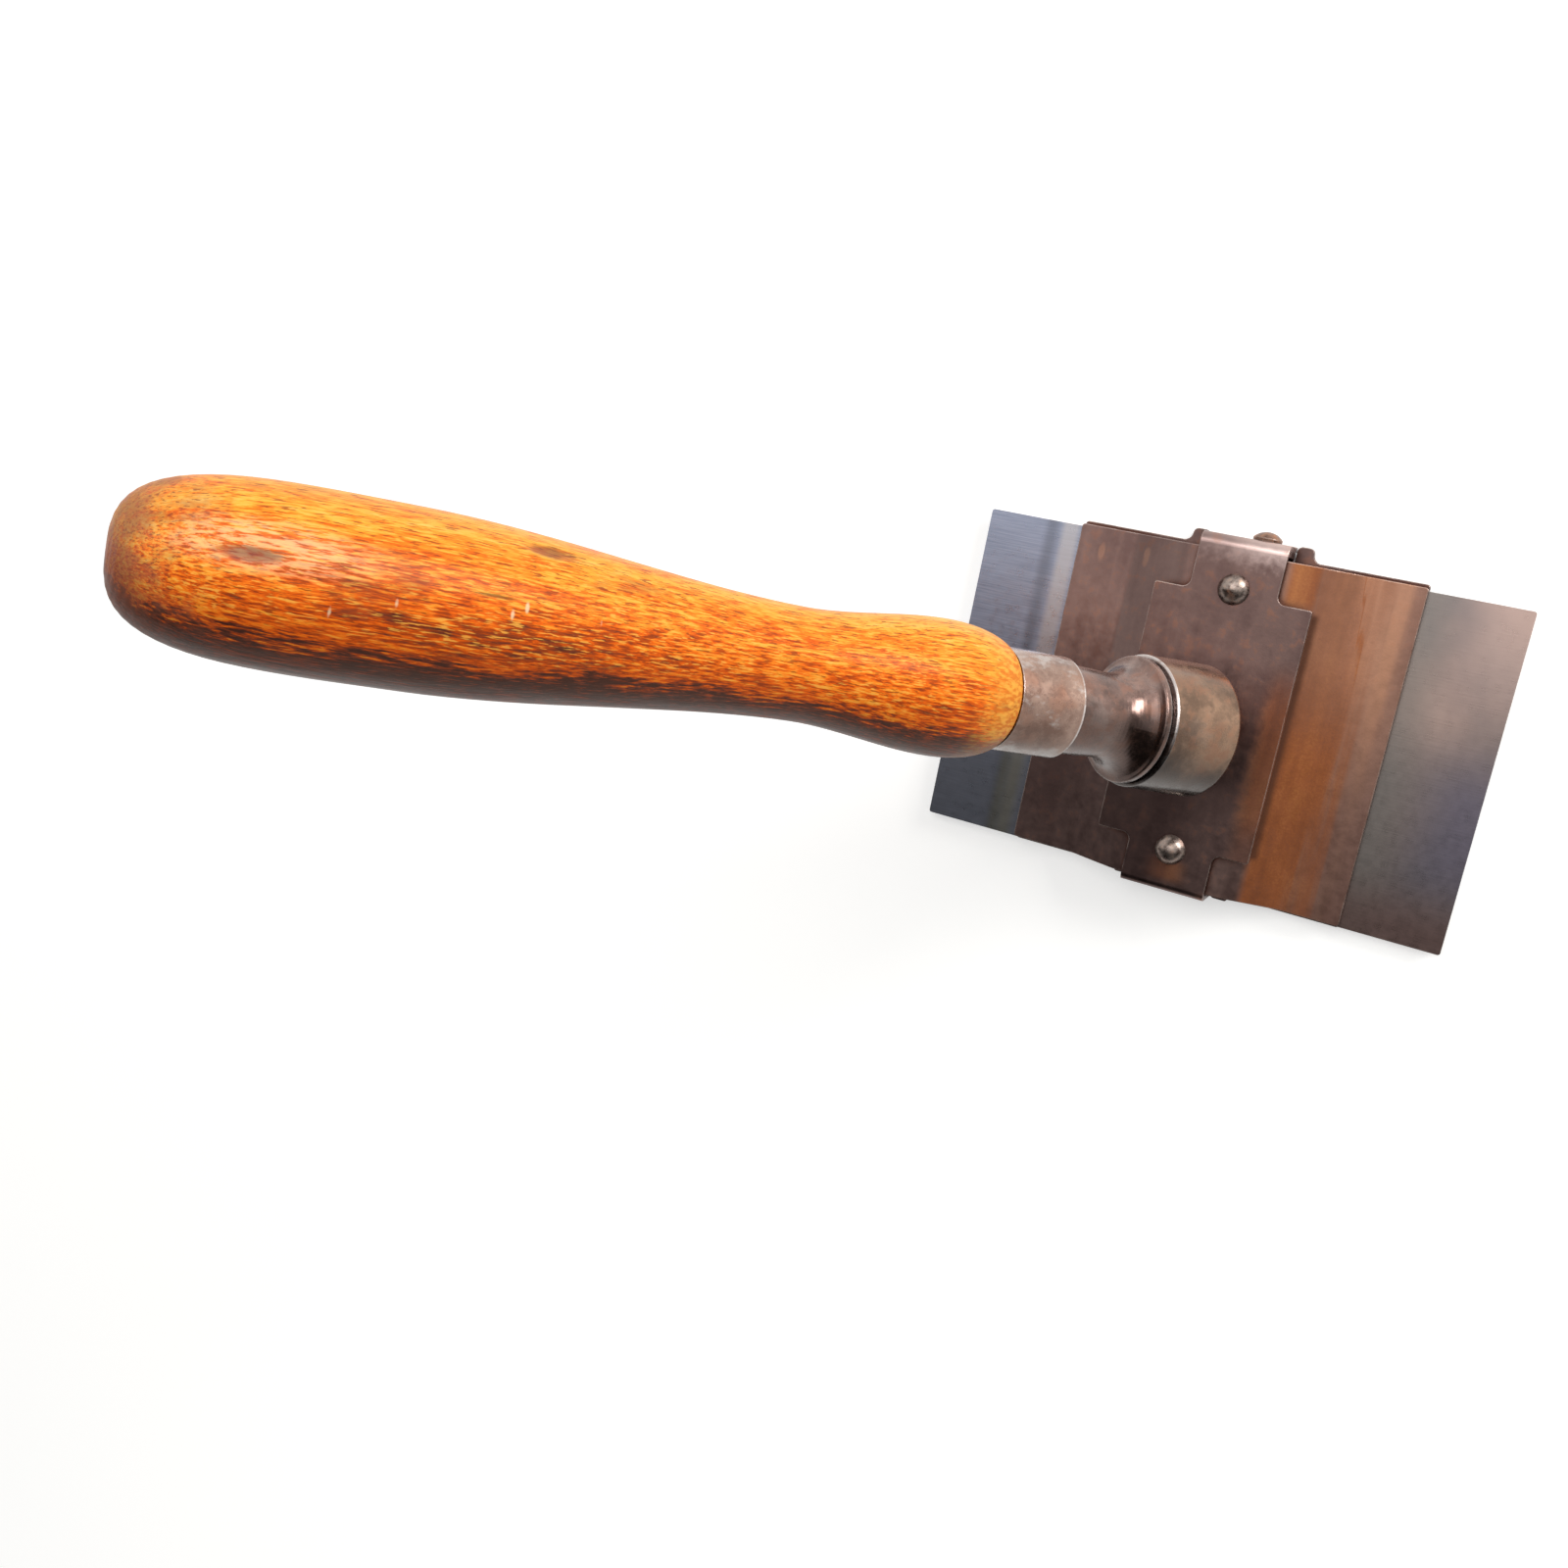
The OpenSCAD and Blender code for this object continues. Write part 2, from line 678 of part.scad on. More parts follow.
module handle() {
    tenon_r = ferrule_in_r - ferrule_fit;
    hole = tang_side + 2 * tang_fit;
    color(wood_amber)
    on_handle() difference() {
        translate([0, 0, wood_at]) rotate_extrude() polygon(concat(
            [[0, stem_back - wood_at], [tenon_r, stem_back - wood_at],
             [tenon_r, 0]],
            wood_outline()));
        translate([-hole / 2, -hole / 2, stem_back - over])
            cube([hole, hole, tang_l + 2 * over]);
    }
}

// ------------------------------------------------------------- assembly

blade();
lower_jaw();
upper_jaw();
bridge_plate();
bridge_rivet(1);  // bridge_rivet_1
bridge_rivet(-1);  // bridge_rivet_2
clamp_screw();
ball_stud();
stud_burr();
socket_cap();
seat_ring();
socket_stem();
ferrule();
handle();
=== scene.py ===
"""Looks of the cabinet scraper: materials, a worn wooden handle, floor, light and camera."""

import math

import bpy
from mathutils import Euler, Matrix, Vector, noise

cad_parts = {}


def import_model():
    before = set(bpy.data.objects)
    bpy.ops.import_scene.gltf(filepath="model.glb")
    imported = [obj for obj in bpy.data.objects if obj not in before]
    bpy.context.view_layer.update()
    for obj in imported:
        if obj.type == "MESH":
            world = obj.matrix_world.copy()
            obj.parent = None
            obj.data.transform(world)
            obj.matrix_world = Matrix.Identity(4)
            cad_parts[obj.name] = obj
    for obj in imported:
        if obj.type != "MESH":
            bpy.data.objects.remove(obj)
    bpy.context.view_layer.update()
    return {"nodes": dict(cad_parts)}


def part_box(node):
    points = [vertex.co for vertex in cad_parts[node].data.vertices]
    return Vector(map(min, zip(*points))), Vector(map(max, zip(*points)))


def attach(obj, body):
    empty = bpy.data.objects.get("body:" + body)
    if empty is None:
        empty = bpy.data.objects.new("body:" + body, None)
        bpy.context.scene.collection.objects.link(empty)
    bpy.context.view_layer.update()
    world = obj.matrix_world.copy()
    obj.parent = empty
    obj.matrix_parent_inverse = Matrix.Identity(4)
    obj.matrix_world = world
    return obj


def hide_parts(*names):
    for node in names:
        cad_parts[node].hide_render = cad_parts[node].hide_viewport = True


MM = 0.001

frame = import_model()

# The handle's own axes start at the ball's centre: front points up from the side that is
# uppermost as it leans, side towards +Y, and along towards the butt.
BALL = Vector((0, 0, 27.7)) * MM
HANDLE_TILT = math.radians(37.8)
HANDLE_SWING = math.radians(3.3)
HANDLE_TURN = Euler((0, -HANDLE_TILT, -HANDLE_SWING)).to_matrix()
WOOD_AT = 40.2 * MM
WOOD_END = 175.7 * MM


def mm(*values):
    """Millimetres, given in metres."""
    return tuple(value * MM for value in values)


def on_axis(front, side, along):
    """A point given in the handle's own axes, in the part's frame."""
    return BALL + HANDLE_TURN @ Vector((front, side, along))


# ---------------------------------------------------------------- shader kit

BEVEL_SAMPLES = 6
HOLLOW_SAMPLES = 8
# Share of open sky over a point: a crease below the first, open from the second on
HOLLOW_SKY = (0.45, 0.92)
# How far rounding turns an edge, as 1 - cos: where wear begins, and where it is full
EDGE_TURN = (0.015, 0.16)
# How far noise moves a spot's border in and out, in shares of its size
SPOT_RAGGED = 0.45
# Nearly all of a noise lies in the wide range, and most of it in the middle one
NOISE_WIDE = (0.25, 0.75)
NOISE_MIDDLE = (0.3, 0.7)


class Nodes:
    """A node tree, and short ways to add nodes to it. Inputs are sockets or plain values."""

    def __init__(self, tree):
        self.tree = tree

    def add(self, kind, inputs=None, **settings):
        node = self.tree.nodes.new(kind)
        for key, value in settings.items():
            setattr(node, key, value)
        for key, value in (inputs or {}).items():
            self.feed(node.inputs[key], value)
        return node

    def feed(self, socket, value):
        if isinstance(value, bpy.types.NodeSocket):
            self.tree.links.new(value, socket)
        elif socket.type == "RGBA" and len(value) == 3:
            socket.default_value = (*value, 1)
        else:
            socket.default_value = value

    def math(self, operation, a, b):
        return self.add("ShaderNodeMath", {0: a, 1: b}, operation=operation).outputs[0]

    def chain(self, operation, values):
        result, *others = values
        for value in others:
            result = self.math(operation, result, value)
        return result

    def total(self, *values):
        return self.chain("ADD", values)

    def product(self, *values):
        return self.chain("MULTIPLY", values)

    def most(self, *values):
        return self.chain("MAXIMUM", values)

    def weighted(self, *parts):
        """The sum of values, each given with its share."""
        return self.total(*[self.product(value, share) for value, share in parts])

    def vector(self, operation, a, b):
        return self.add("ShaderNodeVectorMath", {0: a, 1: b}, operation=operation).outputs[0]

    def scaled(self, where, scale):
        return self.vector("MULTIPLY", where, scale)

    def split(self, where):
        return self.add("ShaderNodeSeparateXYZ", {0: where}).outputs

    def length(self, where):
        return self.add("ShaderNodeVectorMath", {0: where}, operation="LENGTH").outputs["Value"]

    def span(self, value, low, high, to_low=0.0, to_high=1.0, curve="SMOOTHSTEP"):
        """Maps low..high to to_low..to_high on a smooth curve, and holds outside."""
        inputs = {0: value, 1: low, 2: high, 3: to_low, 4: to_high}
        return self.add("ShaderNodeMapRange", inputs, interpolation_type=curve).outputs[0]

    def slope(self, value, low, high, to_low, to_high):
        """As span, on a straight line."""
        return self.span(value, low, high, to_low, to_high, "LINEAR")

    def band(self, value, low, high, soft):
        """1 between low and high and 0 outside, each border softened by soft to both sides."""
        rise = self.span(value, low - soft, low + soft)
        fall = self.span(value, high - soft, high + soft, 1.0, 0.0)
        return self.product(rise, fall)

    def rays(self, *kinds):
        """1 for rays of any of these kinds."""
        path = self.add("ShaderNodeLightPath")
        return self.most(*[path.outputs[kind] for kind in kinds])


class Shader(Nodes):
    """One material. part holds the part's coordinates at rest, in metres."""

    def __init__(self, name):
        self.material = bpy.data.materials.new(name)
        self.material.use_nodes = True
        super().__init__(self.material.node_tree)
        self.surface = self.tree.nodes["Principled BSDF"]
        self.part = self.add("ShaderNodeTexCoord").outputs["Object"]

    def noise(self, where, scale, detail=2.0, rough=0.5, bend=0.0, output=0):
        """Fractal noise about 0.5. scale is in cells per metre, one number or one per axis."""
        if not isinstance(scale, tuple):
            scale = (scale, scale, scale)
        inputs = {"Vector": self.scaled(where, scale), "Scale": 1.0, "Detail": detail,
                  "Roughness": rough, "Distortion": bend}
        return self.add("ShaderNodeTexNoise", inputs).outputs[output]

    def vary(self, grain, low, high):
        """low to high over the middle of a noise."""
        return self.span(grain, *NOISE_MIDDLE, low, high)

    def mix(self, share, a, b):
        node = self.add("ShaderNodeMix", data_type="RGBA")
        self.feed(node.inputs["Factor"], share)
        self.feed(node.inputs[6], a)
        self.feed(node.inputs[7], b)
        return node.outputs[2]

    def ramp(self, value, stops):
        node = self.add("ShaderNodeValToRGB", {0: value})
        marks = node.color_ramp.elements
        while len(marks) < len(stops):
            marks.new(0.5)
        for mark, (place, colour) in zip(marks, stops):
            mark.position = place
            mark.color = (*colour, 1)
        return node.outputs[0]

    def along_handle(self):
        """The part's coordinates turned into the handle's own axes: front, side, along."""
        back = HANDLE_TURN.transposed()
        inputs = {"Vector": self.part, "Location": -(back @ BALL), "Rotation": back.to_euler()}
        return self.add("ShaderNodeMapping", inputs, vector_type="POINT").outputs[0]

    def off_axis(self, own):
        """Distance from the handle's centre line."""
        return self.length(self.scaled(own, (1, 1, 0)))

    def spot(self, where, centre, reach, ragged, edge=0.45):
        """1 inside an ellipsoid about centre with half-axes reach, with a ragged border."""
        offset = self.vector("SUBTRACT", where, centre)
        size = self.length(self.scaled(offset, tuple(1 / r for r in reach)))
        size = self.total(size, self.slope(ragged, 0.2, 0.8, -SPOT_RAGGED, SPOT_RAGGED))
        return self.span(size, 1 - edge, 1 + edge, 1.0, 0.0)

    def rounded(self, radius):
        return self.add("ShaderNodeBevel", {"Radius": radius}, samples=BEVEL_SAMPLES).outputs[0]

    def worn_edges(self, where, radius, strength):
        """1 on edges and corners that are rubbed bright, broken up along their length."""
        inputs = {0: self.rounded(radius),
                  1: self.add("ShaderNodeNewGeometry").outputs["Normal"]}
        dot = self.add("ShaderNodeVectorMath", inputs, operation="DOT_PRODUCT")
        edge = self.span(self.math("SUBTRACT", 1.0, dot.outputs["Value"]), *EDGE_TURN)
        breaks = self.noise(where, 260, 3, 0.6)
        return self.product(edge, self.span(breaks, 0.50 - strength * 0.3, 0.62))

    def hollows(self, distance):
        """1 in corners and creases, also against a neighbouring piece."""
        inputs = {"Distance": distance}
        node = self.add("ShaderNodeAmbientOcclusion", inputs, samples=HOLLOW_SAMPLES)
        return self.span(node.outputs["AO"], *HOLLOW_SKY, 1.0, 0.0)

    def finish(self, colour, roughness, height, depth, rounding=0.0, **values):
        """Feeds the surface. depth is the height's full swing, and rounding the radius that
        edges are shaded with, both in metres."""
        self.feed(self.surface.inputs["Base Color"], colour)
        self.feed(self.surface.inputs["Roughness"], roughness)
        for name, value in values.items():
            self.feed(self.surface.inputs[name.replace("_", " ")], value)
        inputs = {"Height": height, "Strength": 1.0, "Distance": depth}
        if rounding:
            inputs["Normal"] = self.rounded(rounding)
        normal = self.add("ShaderNodeBump", inputs).outputs[0]
        self.feed(self.surface.inputs["Normal"], normal)
        return self.material


# ------------------------------------------------------------- sheet and blade

BRIGHT_STEEL = (0.60, 0.55, 0.52)
WORN_SHEET = (0.58, 0.47, 0.42)
WORN_TURNED = (0.68, 0.63, 0.61)
# Rust in creases, with painted crease shade
CREASE_RUST_AND_SHADE = (0.075, 0.022, 0.011)
RUST_TONES = [(0.32, (0.19, 0.058, 0.022)), (0.50, (0.36, 0.100, 0.020)),
              (0.68, (0.56, 0.200, 0.045))]
# Painted shadow beside the bridge's edge
BRIDGE_EDGE_SHADOW = (0.085, 0.030, 0.016)

BLADE_BLUE = [(0.3, (0.235, 0.265, 0.350)), (0.7, (0.335, 0.365, 0.465))]
BLADE_BROWN = [(0.36, (0.27, 0.225, 0.22)), (0.52, (0.43, 0.315, 0.28)),
               (0.66, (0.54, 0.385, 0.33))]
BLADE_STAIN = (0.12, 0.13, 0.16)
BLADE_RUBBED = (0.56, 0.53, 0.52)
# Painted shade on the near end towards -Y, and olive in its bands
BLADE_NEAR_SHADE = (0.150, 0.150, 0.168)
BLADE_OLIVE = (0.160, 0.145, 0.100)
# Painted reflection at the far end's +Y corner, then painted shade towards -Y
BLADE_PAINTED_SHEEN = (0.62, 0.44, 0.38)
BLADE_FAR_SHADE = (0.215, 0.190, 0.190)
BLADE_GREY = (0.245, 0.235, 0.210)
BLADE_SCORCH = (0.200, 0.185, 0.265)
BLADE_RUDDY = (0.225, 0.130, 0.112)

# Bands across the blade's near end: from, to and softness along it, in millimetres
STAINED_BAND = (-39.5, -37.2, 1.0)
RUBBED_BAND = (-36.2, -33.0, 0.8)
OLIVE_BAND = (-38.5, -34.0, 1.0)


def blade_steel():
    """Sheet drawn lengthwise: blue-grey on the handle's side, brown on the far one."""
    s = Shader("blade_steel")
    x, y, _ = s.split(s.part)
    grain = s.noise(s.part, (110, 4200, 400), 2, 0.5)
    cloud = s.noise(s.part, (42, 30, 40), 3, 0.5)
    fine = s.noise(s.part, 700, 4, 0.6)
    # The near end is stained and rubbed beside the jaw, and painted darker towards -Y as
    # shade, with a little olive in the bands there
    near = s.ramp(grain, BLADE_BLUE)
    near = s.mix(s.product(s.band(x, *mm(*STAINED_BAND)), 0.5), near, BLADE_STAIN)
    near = s.mix(s.product(s.band(x, *mm(*RUBBED_BAND)), 0.55), near, BLADE_RUBBED)
    near_shade = s.mix(s.band(x, *mm(*OLIVE_BAND)), BLADE_NEAR_SHADE, BLADE_OLIVE)
    near = s.mix(s.span(y, *mm(2, -20), 0.0, 0.75), near, near_shade)
    # The far end has a painted reflection that makes it paler at its +Y corner, and painted
    # shade that makes it darker towards -Y; it is grey beside the jaw, bluish in a patch at
    # the end, and ruddy along the -Y edge
    far = s.ramp(cloud, BLADE_BROWN)
    corner = s.product(s.span(x, *mm(36, 47)), s.span(y, *mm(6, 24)))
    far = s.mix(s.product(corner, 0.7), far, BLADE_PAINTED_SHEEN)
    far = s.mix(s.span(y, *mm(12, -4), 0.0, 0.75), far, BLADE_FAR_SHADE)
    far = s.mix(s.span(x, *mm(32, 41), 0.55, 0.0), far, BLADE_GREY)
    patch = s.product(s.span(x, *mm(36, 48)), s.band(y, *mm(-22, 2, 8)))
    far = s.mix(s.product(patch, 0.6), far, BLADE_SCORCH)
    far = s.mix(s.span(y, *mm(-18, -30), 0.0, 0.7), far, BLADE_RUDDY)
    colour = s.mix(s.span(x, *mm(10, 20)), near, far)
    worn = s.worn_edges(s.part, 0.30 * MM, 0.4)
    colour = s.mix(s.product(worn, 0.6), colour, BRIGHT_STEEL)
    rough = s.vary(fine, 0.27, 0.33)
    height = s.total(grain, s.product(fine, 0.2))
    return s.finish(colour, rough, height, 0.005 * MM, Metallic=0.95)


def sheet_steel(name, dark, light, rusty=None, bare=None, bare_colour=None, shaded=0.0,
                seam=None):
    """Browned sheet steel, faintly streaked across the blade, with rust and painted shade in
    its creases. rusty and bare are functions that give where it is rusted, and where it is
    rubbed to bare_colour, which on the bridge's tab bend also stands for a painted highlight.
    shaded is how dark a painted shadow of the handle is towards the keyed tab, and seam the
    corners of a plate beside whose far edge a shadow is painted."""
    s = Shader(name)
    x, y, _ = s.split(s.part)
    cloud = s.noise(s.part, 48, 3, 0.5, 0.3)
    streak = s.noise(s.part, (300, 20, 60), 3, 0.5)
    mottle = s.noise(s.part, 480, 4, 0.6)
    fine = s.noise(s.part, 2300, 3, 0.7)
    tone = s.weighted((cloud, 0.50), (streak, 0.30), (mottle, 0.20))
    colour = s.ramp(tone, [(0.40, dark), (0.60, light)])
    rust = s.product(s.span(mottle, 0.54, 0.68), 0.16)
    if rusty:
        rust = s.most(rust, rusty(s, streak, mottle))
    if bare:
        colour = s.mix(bare(s, streak, mottle), colour, bare_colour)
    rust_grain = s.weighted((streak, 0.32), (fine, 0.26), (cloud, 0.42))
    colour = s.mix(rust, colour, s.ramp(rust_grain, RUST_TONES))
    # Painted shadow of the handle, towards the keyed tab and the handle's side
    shade = s.product(s.span(y, *mm(4, -22)), s.span(x, *mm(8, -4), 0.35, 1.0), shaded)
    colour = s.mix(shade, colour, tuple(0.35 * c for c in dark))
    # Rust in creases and against neighbouring pieces, with painted crease shade
    colour = s.mix(s.product(s.hollows(2.2 * MM), 0.85), colour, CREASE_RUST_AND_SHADE)
    # A painted shadow on this plate beside the far edge of the plate that seam gives
    if seam:
        (_, near_y, _), (far_x, _, _) = seam
        from_edge, to_edge = mm(-0.4, -0.1)
        fading, clean, ends, soft = mm(0.2, 1.5, 10, 0.6)
        edge_shadow = s.product(s.span(x, far_x + from_edge, far_x + to_edge),
                         s.span(x, far_x + fading, far_x + clean, 0.8, 0.0),
                         s.band(y, near_y + ends, -near_y - ends, soft))
        colour = s.mix(edge_shadow, colour, BRIDGE_EDGE_SHADOW)
    worn = s.worn_edges(s.part, 0.42 * MM, 0.8)
    colour = s.mix(s.product(worn, 0.7), colour, WORN_SHEET)
    rough = s.total(s.vary(mottle, 0.28, 0.38), s.product(rust, 0.12))
    metal = s.span(rust, 0.0, 1.0, 0.93, 0.55)
    height = s.total(mottle, s.product(fine, 0.35))
    return s.finish(colour, rough, height, 0.014 * MM, 0.25 * MM, Metallic=metal)


def upper_jaw_rust(s, streak, _):
    """The half away from the handle is rusted from the bridge to the pad's bend, with a thin
    line across it towards +Y, and a patch beside the screwed tab."""
    x, y, _ = s.split(s.part)
    wavy = s.total(x, s.vary(streak, *mm(-3, 3)))
    beside = s.product(s.span(x, *mm(13, 15)), s.span(wavy, *mm(20, 29), 0.90, 0.16),
                       s.span(y, *mm(20, -6), 0.50, 1.0))
    line = s.product(s.band(wavy, *mm(21.7, 22.7, 0.6)), 0.8, s.span(y, *mm(4, 16)))
    patch = s.product(s.span(y, *mm(20, 26)), s.band(x, *mm(9, 14.5, 1)))
    return s.most(beside, line, s.product(patch, 0.8))


# Smears on the near half of the upper jaw: centres and half-axes, in millimetres
SMEARS = [(-27.3, 27.1, 3.4), (-18.3, 28.0, 5.5)]
SMEAR_REACH = (0.6, 1.7, 4)


def upper_jaw_bare(s, streak, mottle):
    """Paler on the far half towards the clamp screw, and two smears on the near half."""
    x, y, _ = s.split(s.part)
    far = s.product(s.span(x, *mm(11, 21), 0.35, 1.0), s.span(x, *mm(29, 31), 1.0, 0.45),
                    s.span(x, *mm(0, 1)), s.span(y, *mm(-14, 18), 0.15, 1.0),
                    s.span(streak, 0.30, 0.70, 0.6, 0.9))
    smears = s.most(*[s.spot(s.part, mm(*centre), mm(*SMEAR_REACH), mottle)
                      for centre in SMEARS])
    return s.most(far, s.product(smears, 0.30))


def bridge_rub_and_highlight(s, _, mottle):
    """Rubbed along the bend of the screwed tab, with a painted highlight there, more so away
    from the handle.
    """
    x, y, _ = s.split(s.part)
    wavy = s.total(y, s.vary(mottle, *mm(-1, 1)))
    return s.product(s.span(wavy, *mm(28.5, 34)), s.span(x, *mm(-6, 6), 0.25, 0.85))


def bridge_rust(s, _, mottle):
    """A rusty band inside the far edge towards the keyed tab, and a spot on its arm."""
    x, y, _ = s.split(s.part)
    wavy = s.total(x, s.vary(mottle, *mm(-0.4, 0.4)))
    band = s.product(s.span(wavy, *mm(8.8, 12.5)), s.span(y, *mm(15, 4)),
                     s.span(y, *mm(-14, -22), 1.0, 0.35))
    arm = s.product(s.band(y, *mm(-31, -27, 1)), s.band(x, *mm(-3, 3, 2)))
    return s.most(s.product(band, 0.60), s.product(arm, 0.6))


# --------------------------------------------------------- turned and small steel

TURNED_RUDDY = (0.27, 0.095, 0.042)
TURNED_CREASE_RUST_AND_SHADE = (0.14, 0.042, 0.02)
# Painted shade away from +Y
TURNED_SHADE = (0.012, 0.008, 0.006)
# A rim is rubbed only where it stands further out than this from the centre line
RIM_RADIUS = (8.2, 8.4)
RIM_SOFT = 0.08 * MM
BRASS_TONES = [(0.35, (0.30, 0.20, 0.08)), (0.65, (0.58, 0.44, 0.21))]


def turned_steel(name, dark, light, bare, rims, shade):
    """Turned steel gone brown, with fine rings, blotches and bright rubbed rims. bare is how
    bright the blotches are, and rims give from, to and strength along the handle, in
    millimetres. shade is how far painted shade darkens it away from +Y: the facing where it
    is darkest, the facing where it is clear, and the least share of its colour left."""
    s = Shader(name)
    own = s.along_handle()
    _, side, along = s.split(own)
    radius = s.off_axis(own)
    rings = s.noise(own, (30, 30, 3600), 2, 0.5)
    cloud = s.noise(own, 120, 4, 0.55, 0.3)
    mottle = s.noise(own, 520, 4, 0.65)
    tone = s.weighted((cloud, 0.6), (mottle, 0.4))
    colour = s.ramp(tone, [(0.40, dark), (0.60, light)])
    ruddy = s.span(s.noise(own, 260, 3, 0.6), 0.46, 0.66, 0.0, 0.38)
    colour = s.mix(ruddy, colour, TURNED_RUDDY)
    blotch = s.span(s.noise(own, (170, 170, 110), 4, 0.65), 0.52, 0.62, 0.0, bare)
    colour = s.mix(blotch, colour, BRIGHT_STEEL)
    # Ruddy in creases and against neighbouring pieces, with painted crease shade
    colour = s.mix(s.product(s.hollows(1.0 * MM), 0.8), colour, TURNED_CREASE_RUST_AND_SHADE)
    rubbed = s.most(*[s.product(s.band(along, *mm(low, high), RIM_SOFT), strength)
                      for low, high, strength in rims])
    rubbed = s.product(rubbed, s.span(radius, *mm(*RIM_RADIUS)),
                       s.span(s.noise(own, 420, 3, 0.6), 0.36, 0.50, 0.35, 1.0))
    worn = s.most(s.worn_edges(own, 0.5 * MM, 0.9), rubbed)
    colour = s.mix(s.product(worn, 0.75), colour, WORN_TURNED)
    # Painted shade: darker away from +Y, by how the surface faces
    facing = s.total(s.math("DIVIDE", side, radius), s.vary(cloud, -0.12, 0.12))
    darkest, clear, least = shade
    colour = s.mix(s.span(facing, darkest, clear, 1 - least, 0.0), colour, TURNED_SHADE)
    rough = s.vary(mottle, 0.20, 0.34)
    height = s.total(s.product(rings, 0.5), mottle)
    return s.finish(colour, rough, height, 0.016 * MM, 0.25 * MM, Metallic=0.90,
                    Coat_Weight=0.35, Coat_Roughness=0.12)


def small_steel(name, dark, light, rust_share):
    """Rivets, washer, screw and stud: rust and painted shade in creases, rubbed bright on
    edges.
    """
    s = Shader(name)
    mottle = s.noise(s.part, 700, 4, 0.65)
    colour = s.ramp(mottle, [(0.38, dark), (0.62, light)])
    rust = s.product(s.span(mottle, 0.50, 0.66), rust_share)
    colour = s.mix(rust, colour, s.ramp(mottle, RUST_TONES))
    # Rust in creases, with painted crease shade
    colour = s.mix(s.product(s.hollows(0.7 * MM), 0.8), colour, CREASE_RUST_AND_SHADE)
    worn = s.worn_edges(s.part, 0.35 * MM, 0.6)
    colour = s.mix(s.product(worn, 0.7), colour, BRIGHT_STEEL)
    rough = s.vary(mottle, 0.24, 0.40)
    return s.finish(colour, rough, mottle, 0.02 * MM, 0.15 * MM, Metallic=0.88)


def seat_brass():
    """Dull turned brass."""
    s = Shader("seat_brass")
    own = s.along_handle()
    mottle = s.noise(own, 900, 4, 0.6)
    rings = s.noise(own, (40, 40, 5000), 2, 0.6)
    colour = s.ramp(mottle, BRASS_TONES)
    return s.finish(colour, s.vary(mottle, 0.3, 0.5), rings, 0.02 * MM, Metallic=1.0)


# ---------------------------------------------------------------------- wood

# Marks on the wood: distance along the handle, angle round it, half-length and half-width,
# in millimetres and degrees. The angle is 0 on the +Y side and -90 at the front.
WOOD_RADIUS = 12.3 * MM
DENT = (160.2, -71, 4.6, 0.9)
SCAR = (120.0, -28, 4.0, 1.3)
CRACK = (128.8, -70.5, 3.2, 0.25)
MARK_COLOURS = ((DENT, (0.14, 0.060, 0.065)), (SCAR, (0.11, 0.040, 0.022)),
                (CRACK, (0.06, 0.022, 0.012)))
# How deep a mark is pressed in, in millimetres
MARK_DEPTHS = ((DENT, 0.35), (SCAR, 0.18))
# Nicks across the grain: distance along the handle and angle
NICKS = [(125.8, -80), (123.9, -74), (113.1, -75), (141.0, -84), (97.0, -62), (149.0, -96)]
NICK_RADIUS = 12.0 * MM
NICK_REACH = (0.65, 0.65, 0.24)
# Where the wood is ruddier, and rubbed paler with a painted sheen: distance and angle, and
# half-axes
RUDDY_PATCH = ((130, -72), (10, 10, 17))
PALE_RUB_AND_SHEEN = ((158, -64), (3, 3, 12))

WOOD_TONES = [(0.08, (0.060, 0.018, 0.012)), (0.24, (0.17, 0.040, 0.020)),
              (0.40, (0.50, 0.070, 0.008)), (0.52, (0.82, 0.120, 0.008)),
              (0.64, (0.95, 0.215, 0.014)), (0.78, (0.96, 0.385, 0.040)),
              (0.96, (0.97, 0.580, 0.155))]
PALE_PORE = (0.97, 0.46, 0.07)
DARK_PORE = (0.27, 0.042, 0.010)
END_GRAIN = ((0.72, 0.195, 0.018), (0.90, 0.42, 0.06))
BUTT_GRIME = (0.255, 0.095, 0.060)
HAND_GRIME = (0.24, 0.055, 0.025)
# Rubbed wood with a painted sheen
RUBBED_WOOD_AND_SHEEN = (0.98, 0.58, 0.30)
NICK_COLOUR = (0.92, 0.66, 0.40)
VARNISH = {"Specular_IOR_Level": 0.25, "Specular_Tint": (1.0, 0.50, 0.22, 1.0),
           "Coat_Weight": 0.06, "Coat_Roughness": 0.20}


def mark_at(along, angle, radius=WOOD_RADIUS):
    turn = math.radians(angle)
    return (-radius * math.sin(turn), radius * math.cos(turn), along * MM)


